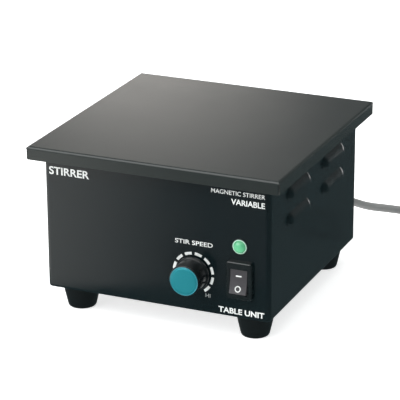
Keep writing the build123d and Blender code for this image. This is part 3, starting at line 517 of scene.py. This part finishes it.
def make_knob():
    """Black knob with a skirt and a plain waist, its teal disc with a thin rim in a lighter teal as a painted
    highlight, and its pointer.
    """
    profile = [
        (0, -91.8), (12.6, -91.8), (13.05, -92.0), (13.2, -92.5), (13.2, -94.0), (13.0, -94.7),
        (12.5, -95.1), (12.15, -95.6), (12.05, -96.4), (12.0, -100.0), (11.95, -106.6),
        (11.8, -107.5), (11.5, -107.9), (11.3, -108.0), (0, -108.0),
    ]
    centre = (KNOB_X, 0, KNOB_Z)
    mesh = mesh_from("knob_moulding", turned(profile, centre, "Y"))
    knob = piece("knob_moulding", mesh, "black_plastic", "speed_knob", look=KNOB_BLACK)
    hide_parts("knob_body")
    crowned = [(0, -107.9), (10.4, -107.9), (10.4, -108.6), (9.0, -108.8), (5.0, -108.96), (0, -109.0)]
    mesh = mesh_from("knob_disc", turned(crowned, centre, "Y"))
    cap = piece("knob_disc", mesh, "teal_plastic", "speed_knob")
    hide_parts("knob_cap")
    rim = [(10.4, -108.0), (10.9, -108.0), (10.9, -108.5), (10.75, -108.8), (10.55, -108.85), (10.4, -108.65)]
    mesh = mesh_from("knob_rim", turned(rim + rim[:1], centre, "Y"))
    # The rim in the lighter copy of the cap's teal: a painted highlight.
    piece("knob_rim", mesh, "teal_plastic", "speed_knob", look=TEAL_RIM_HIGHLIGHT)
    pointer = rounded_outline(0.9, 1.6, 0.3, 2)
    mesh = mesh_from("knob_pointer", prism(pointer, -PRINT_SUNK, 0.25, on_skirt))
    piece("knob_pointer", mesh, "nylon", "speed_knob", False, WHITE_INK)


def on_skirt(u, v, w):
    """A point on the low side of the knob's skirt: across, up, and out of it."""
    return at(KNOB_X + u, SKIRT_FACE - w, KNOB_Z - POINTER_DROP + v)


# The lamp and the rocker


def make_lamp():
    """Domed green lens in its thin flange, the flange in a paler green as a painted highlight on its ring."""
    profile = [
        (0, -86.0), (4.6, -86.0), (4.6, -91.7), (4.3, -92.5), (3.9, -93.2), (3.2, -93.9), (2.2, -94.4),
        (1.0, -94.58), (0, -94.6),
    ]
    centre = (LAMP_X, 0, LAMP_Z)
    lamp = piece("lamp_dome", mesh_from("lamp_dome", turned(profile, centre, "Y", 64)), "green_lens")
    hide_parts("lamp_lens")
    ring = [(4.62, -91.0), (5.45, -91.02), (5.45, -91.6), (5.2, -91.9), (4.85, -91.85), (4.66, -91.6)]
    mesh = mesh_from("lamp_flange", turned(ring + ring[:1], centre, "Y", 64))
    # The flange in the lighter copy of the lens's green: a painted highlight on its ring.
    piece("lamp_flange", mesh, "green_lens", look=LENS_RIM_HIGHLIGHT)
    seal = [(5.5, -90.9), (6.1, -90.95), (6.1, -91.25), (5.5, -91.3)]
    mesh = mesh_from("lamp_seal", turned(seal + seal[:1], centre, "Y", 64))
    piece("lamp_seal", mesh, "foot_rubber")


def rocker_point(u, v, w):
    """A point on the rocker: across, up from its pivot, and out, tilted as at rest."""
    angle = radians(ROCKER_TILT)
    return at(
        SWITCH_X + u,
        ROCKER_PIVOT_Y - w * cos(angle) - v * sin(angle),
        SWITCH_Z - w * sin(angle) + v * cos(angle),
    )


def make_rocker():
    """Grey rocker with a hollowed face, a line on its upper half and a ring on its lower."""
    outline = [(-ROCKER_HALF, 0.5), (-5.0, -2.5), (5.0, -2.5), (ROCKER_HALF, 0.5)]
    for step in range(17):
        v = ROCKER_HALF * (1 - step / 8)
        outline.append((v, rocker_face(v)))
    mesh = mesh_from("rocker_cap", prism(outline, -6.6, 6.6, lambda v, w, u: rocker_point(u, v, w)))
    rocker = piece("rocker_cap", mesh, "black_plastic", "power_rocker", look=ROCKER_GREY)
    soften(rocker, 0.35)
    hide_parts("switch_rocker")
    line = rounded_outline(4.4, 0.95, 0.2, 2)
    mesh = mesh_from("rocker_line", prism(line, 0.0, 0.06, lambda u, v, w: on_rocker(u, v + 4.4, w)))
    piece("rocker_line", mesh, "nylon", "power_rocker", False, WHITE_INK)
    mesh = mesh_from("rocker_ring", ring_print(2.35, 1.55, -5.2))
    piece("rocker_ring", mesh, "nylon", "power_rocker", False, WHITE_INK)


def rocker_face(v):
    """How far the rocker's hollow face stands out, at a height on it."""
    return 3.0 + (v / ROCKER_HALF) ** 2


def on_rocker(u, v, w):
    """A point on the rocker's hollow face: across, up, and out of it."""
    return rocker_point(u, v, rocker_face(v) + w)


def ring_print(outer, inner, height):
    """Builder of a thin flat ring on the rocker's face."""
    steps = 40

    def build(work):
        loops = []
        for radius, out in ((outer, 0.0), (outer, 0.06), (inner, 0.06), (inner, 0.0)):
            loop = []
            for step in range(steps):
                angle = tau * step / steps
                place = on_rocker(radius * cos(angle), height + radius * sin(angle), out)
                loop.append(work.verts.new(place))
            loops.append(loop)
        for first, second in zip(loops, loops[1:] + loops[:1]):
            join_loops(work, first, second, steps)

    return build


# The cord, its coil and its plug


def cord_points():
    """The cord's control points: out of the boot, down to the bench, then round the coil."""
    points = list(CORD_ROUTE)
    for step in range(round((COIL_TURNS + LAST_TURN) * TURN_POINTS) + 1):
        turn = step / TURN_POINTS
        radius, height = coil_place(turn)
        angle = pi / 2 - tau * turn
        points.append((COIL_X + radius * cos(angle), COIL_Y + radius * sin(angle), height))
    return points


def eased(part):
    """From 0 to 1, level at both ends."""
    return part * part * (3 - 2 * part)


def coil_place(turn):
    """Radius and height after that many turns: inwards, up, outwards, up, then to the plug."""
    whole = int(turn)
    part = turn - whole
    radius = COIL_R[RING_OF_TURN[whole]]
    height = COIL_Z[LAYER_OF_TURN[whole]]
    if whole == COIL_TURNS:
        rise = part / LAST_TURN
        radius += (PLUG_R - radius) * rise
        height += (PLUG_Z - height) * eased(rise)
    elif part > SLIDE_START:
        slide = eased((part - SLIDE_START) / (1 - SLIDE_START))
        radius += (COIL_R[RING_OF_TURN[whole + 1]] - radius) * slide
        height += (COIL_Z[LAYER_OF_TURN[whole + 1]] - height) * slide
    return radius, height


def make_cord():
    """One smooth line for the whole cord."""
    points = cord_points()
    curve = bpy.data.curves.new("mains_cord", "CURVE")
    curve.dimensions = "3D"
    curve.bevel_depth = CORD_D / 2 * MM
    curve.bevel_resolution = 5
    curve.resolution_u = 6
    curve.use_fill_caps = True
    line = curve.splines.new("NURBS")
    line.points.add(len(points) - 1)
    for point, place in zip(line.points, points):
        point.co = (*at(*place), 1.0)
    line.order_u = 3
    line.use_endpoint_u = True
    cord = placed("mains_cord", curve)
    cord.data.materials.append(MATERIALS["cord_grey"])
    cord.visible_glossy = False
    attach(cord, "case")
    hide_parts("power_cord", "cord_coil")


def make_plug():
    """Moulded plug: a rounded body with finger ridges and a ribbed, tapered neck."""
    sections = plug_sections()
    steps = 64

    def build(work):
        loops = [[work.verts.new(at(PLUG_X, PLUG_TIP, PLUG_Z))]]
        for y, wide, tall in sections:
            power = 0.55 if y < PLUG_NECK_START else 1.0
            loop = []
            for step in range(steps):
                u = wide * signed_power(cos(tau * step / steps), power)
                v = tall * signed_power(sin(tau * step / steps), power)
                loop.append(work.verts.new(at(PLUG_X + u, y, PLUG_Z + v)))
            loops.append(loop)
        loops.append([work.verts.new(at(PLUG_X, COIL_Y, PLUG_Z))])
        for first, second in zip(loops, loops[1:]):
            join_loops(work, first, second, steps)

    plug = piece("plug_moulding", mesh_from("plug_moulding", build), "cord_grey")
    plug.visible_glossy = False
    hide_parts("plug_body")


def signed_power(share, power):
    """A share from -1 to 1 raised to a power, with its sign kept."""
    return abs(share) ** power * (1 if share >= 0 else -1)


def plug_sections():
    """The plug's sections from its face to the cord: place along Y, half width, half height."""
    sections = [(92.0, 9.6, 5.4), (92.3, 10.9, 6.5), (93.2, 11.7, 7.2), (94.6, 12.0, 7.5)]
    for ridge in range(5):
        y = 97.0 + 2.6 * ridge
        sections += [(y, 11.9, 7.45), (y + 0.5, 11.3, 7.45), (y + 1.3, 11.3, 7.45), (y + 1.8, 11.9, 7.45)]
    sections += [(111.5, 11.6, 7.4), (113.2, 10.2, 7.1), (114.0, 8.2, 6.6), (114.6, 6.9, 6.2)]
    for rib in range(4):
        y = 116.0 + 3.2 * rib
        wide = 6.6 - 0.55 * rib
        sections += [
            (y, wide, wide * 0.95), (y + 0.4, wide - 0.9, wide - 1.2),
            (y + 1.2, wide - 0.9, wide - 1.2), (y + 1.6, wide - 0.15, wide * 0.93),
        ]
    return sections + [(129.6, 4.3, 4.3), (130.0, 3.9, 3.9)]


# Stage


def make_floor():
    """Plain pale floor, lit a little from itself so that it stays clean."""
    mesh = mesh_from("floor", prism(rounded_outline(9000, 9000, 10), -2.0, 0.0, at))
    floor = placed("floor", mesh)
    made, tree, shader = material("pale_floor")
    speckle = between(tree, noise(tree, 30.0, 3.0), (0.87, 0.87, 0.87), (0.89, 0.89, 0.89))
    tree.links.new(speckle, shader.inputs["Base Color"])
    shader.inputs["Roughness"].default_value = 0.9
    shader.inputs["Specular IOR Level"].default_value = 0.1
    shader.inputs["Emission Color"].default_value = (1.0, 1.0, 1.0, 1.0)
    shader.inputs["Emission Strength"].default_value = 0.75
    floor.data.materials.append(made)
    floor.visible_glossy = False


def make_card(name, size, place, glow, dark, light, strength):
    """A card seen only in reflections, its light from dark to light as glow(tree) goes from 0 to 1."""
    card = placed(name, mesh_from(name, prism(rounded_outline(*size, 5), -0.5, 0.5, at)))
    card.matrix_world = place
    made, tree, shader = material(name + "_glow")
    shader.inputs["Base Color"].default_value = BLACK
    tree.links.new(between(tree, glow(tree), dark, light), shader.inputs["Emission Color"])
    shader.inputs["Emission Strength"].default_value = strength
    card.data.materials.append(made)
    card.visible_camera = False
    card.visible_diffuse = False
    card.visible_shadow = False


def middle_glow(tree):
    """1 at the card's middle, and less away from it, more slowly along than up."""
    place = tree.nodes.new("ShaderNodeTexCoord")
    squeeze = tree.nodes.new("ShaderNodeMapping")
    squeeze.inputs["Scale"].default_value = (0.78, 1.6, 1.0)
    away = tree.nodes.new("ShaderNodeVectorMath")
    away.operation = "LENGTH"
    tree.links.new(place.outputs["Object"], squeeze.inputs["Vector"])
    tree.links.new(squeeze.outputs["Vector"], away.inputs[0])
    return spread(tree, away.outputs["Value"], 1.0, 0.0, 0.0, 0.20)


def cloudy_glow(tree):
    """Almost even, with large soft clouds."""
    return noise(tree, 4.0, 1.0)


def side_glow(tree):
    """1 on the card's left part, and 0 on its right."""
    place = tree.nodes.new("ShaderNodeTexCoord")
    parts = tree.nodes.new("ShaderNodeSeparateXYZ")
    tree.links.new(place.outputs["Object"], parts.inputs["Vector"])
    return spread(tree, parts.outputs["X"], 1.0, 0.0, -0.10, 0.03)


def make_cards():
    """Cards for the gloss on the panel, on the plate, and on the ends of the louvres."""
    upright = Matrix.Rotation(pi / 2, 4, "X")
    lying = Matrix.Translation(at(-200, -520, 3)) @ Matrix.Rotation(radians(-23.6), 4, "Z")
    behind = Matrix.Translation(at(-330, 520, 255)) @ upright
    low = Matrix.Translation(at(60, 520, 60)) @ upright
    make_card("gloss_card", (700, 800), lying, side_glow, (0.02, 0.025, 0.03), (1.0, 0.97, 0.93), 1.25)
    make_card("sky_card", (700, 560), behind, middle_glow, (0.09, 0.09, 0.09), (1.0, 0.95, 0.90), 2.4)
    make_card("rim_card", (420, 100), low, cloudy_glow, (0.95, 0.95, 0.95), (1.0, 1.0, 1.0), 2.0)


def softbox(name, place, size, power):
    """A large soft light that faces the middle of the object."""
    light = bpy.data.lights.new(name, "AREA")
    light.shape = "RECTANGLE"
    light.size = size[0]
    light.size_y = size[1]
    light.energy = power
    away = Vector(place) - at(0, 0, 60)
    turn = away.to_track_quat("Z", "Y").to_matrix().to_4x4()
    placed(name, light).matrix_world = Matrix.Translation(place) @ turn


def light_scene():
    """Grey surroundings, lightest up behind on the left, a key light at the front left, and a top light."""
    world = bpy.data.worlds.new("studio")
    world.use_nodes = True
    tree = world.node_tree
    sky = tree.nodes.new("ShaderNodeTexCoord")
    facing = tree.nodes.new("ShaderNodeVectorMath")
    facing.operation = "DOT_PRODUCT"
    facing.inputs[1].default_value = (-0.55, 0.45, 0.70)
    tree.links.new(sky.outputs["Generated"], facing.inputs[0])
    glow = spread(tree, facing.outputs["Value"], 0.0, 1.0, 0.0, 1.0)
    colour = between(tree, glow, (0.085, 0.118, 0.124), (0.40, 0.40, 0.39))
    tree.links.new(colour, tree.nodes["Background"].inputs["Color"])
    bpy.context.scene.world = world
    softbox("key_light", (-1.7, -1.9, 2.1), (3.2, 3.0), 92.0)
    softbox("top_light", (0.2, -0.2, 2.6), (2.8, 2.8), 34.0)


def make_camera():
    """The camera, where it sees the object from its front right and above."""
    right = Vector((-BACKWARD.y, BACKWARD.x, 0)).normalized()
    up = BACKWARD.cross(right).normalized()
    roll = radians(CAMERA_ROLL)
    across = right * cos(roll) + up * sin(roll)
    upright = up * cos(roll) - right * sin(roll)
    place = TARGET + BACKWARD * DISTANCE
    data = bpy.data.cameras.new("camera")
    data.lens = CAMERA_LENS
    data.sensor_width = SENSOR_WIDTH
    data.clip_start = 0.05
    data.clip_end = 50.0
    made = placed("camera", data)
    turn = Matrix((across, upright, BACKWARD)).transposed()
    made.matrix_world = Matrix.Translation(place) @ turn.to_4x4()
    bpy.context.scene.camera = made


dress_cad()
make_feet()
panel_prints()
make_knob()
make_lamp()
make_rocker()
make_plug()
make_cord()
make_floor()
make_cards()
light_scene()
make_camera()
bpy.context.scene.view_settings.view_transform = "Standard"
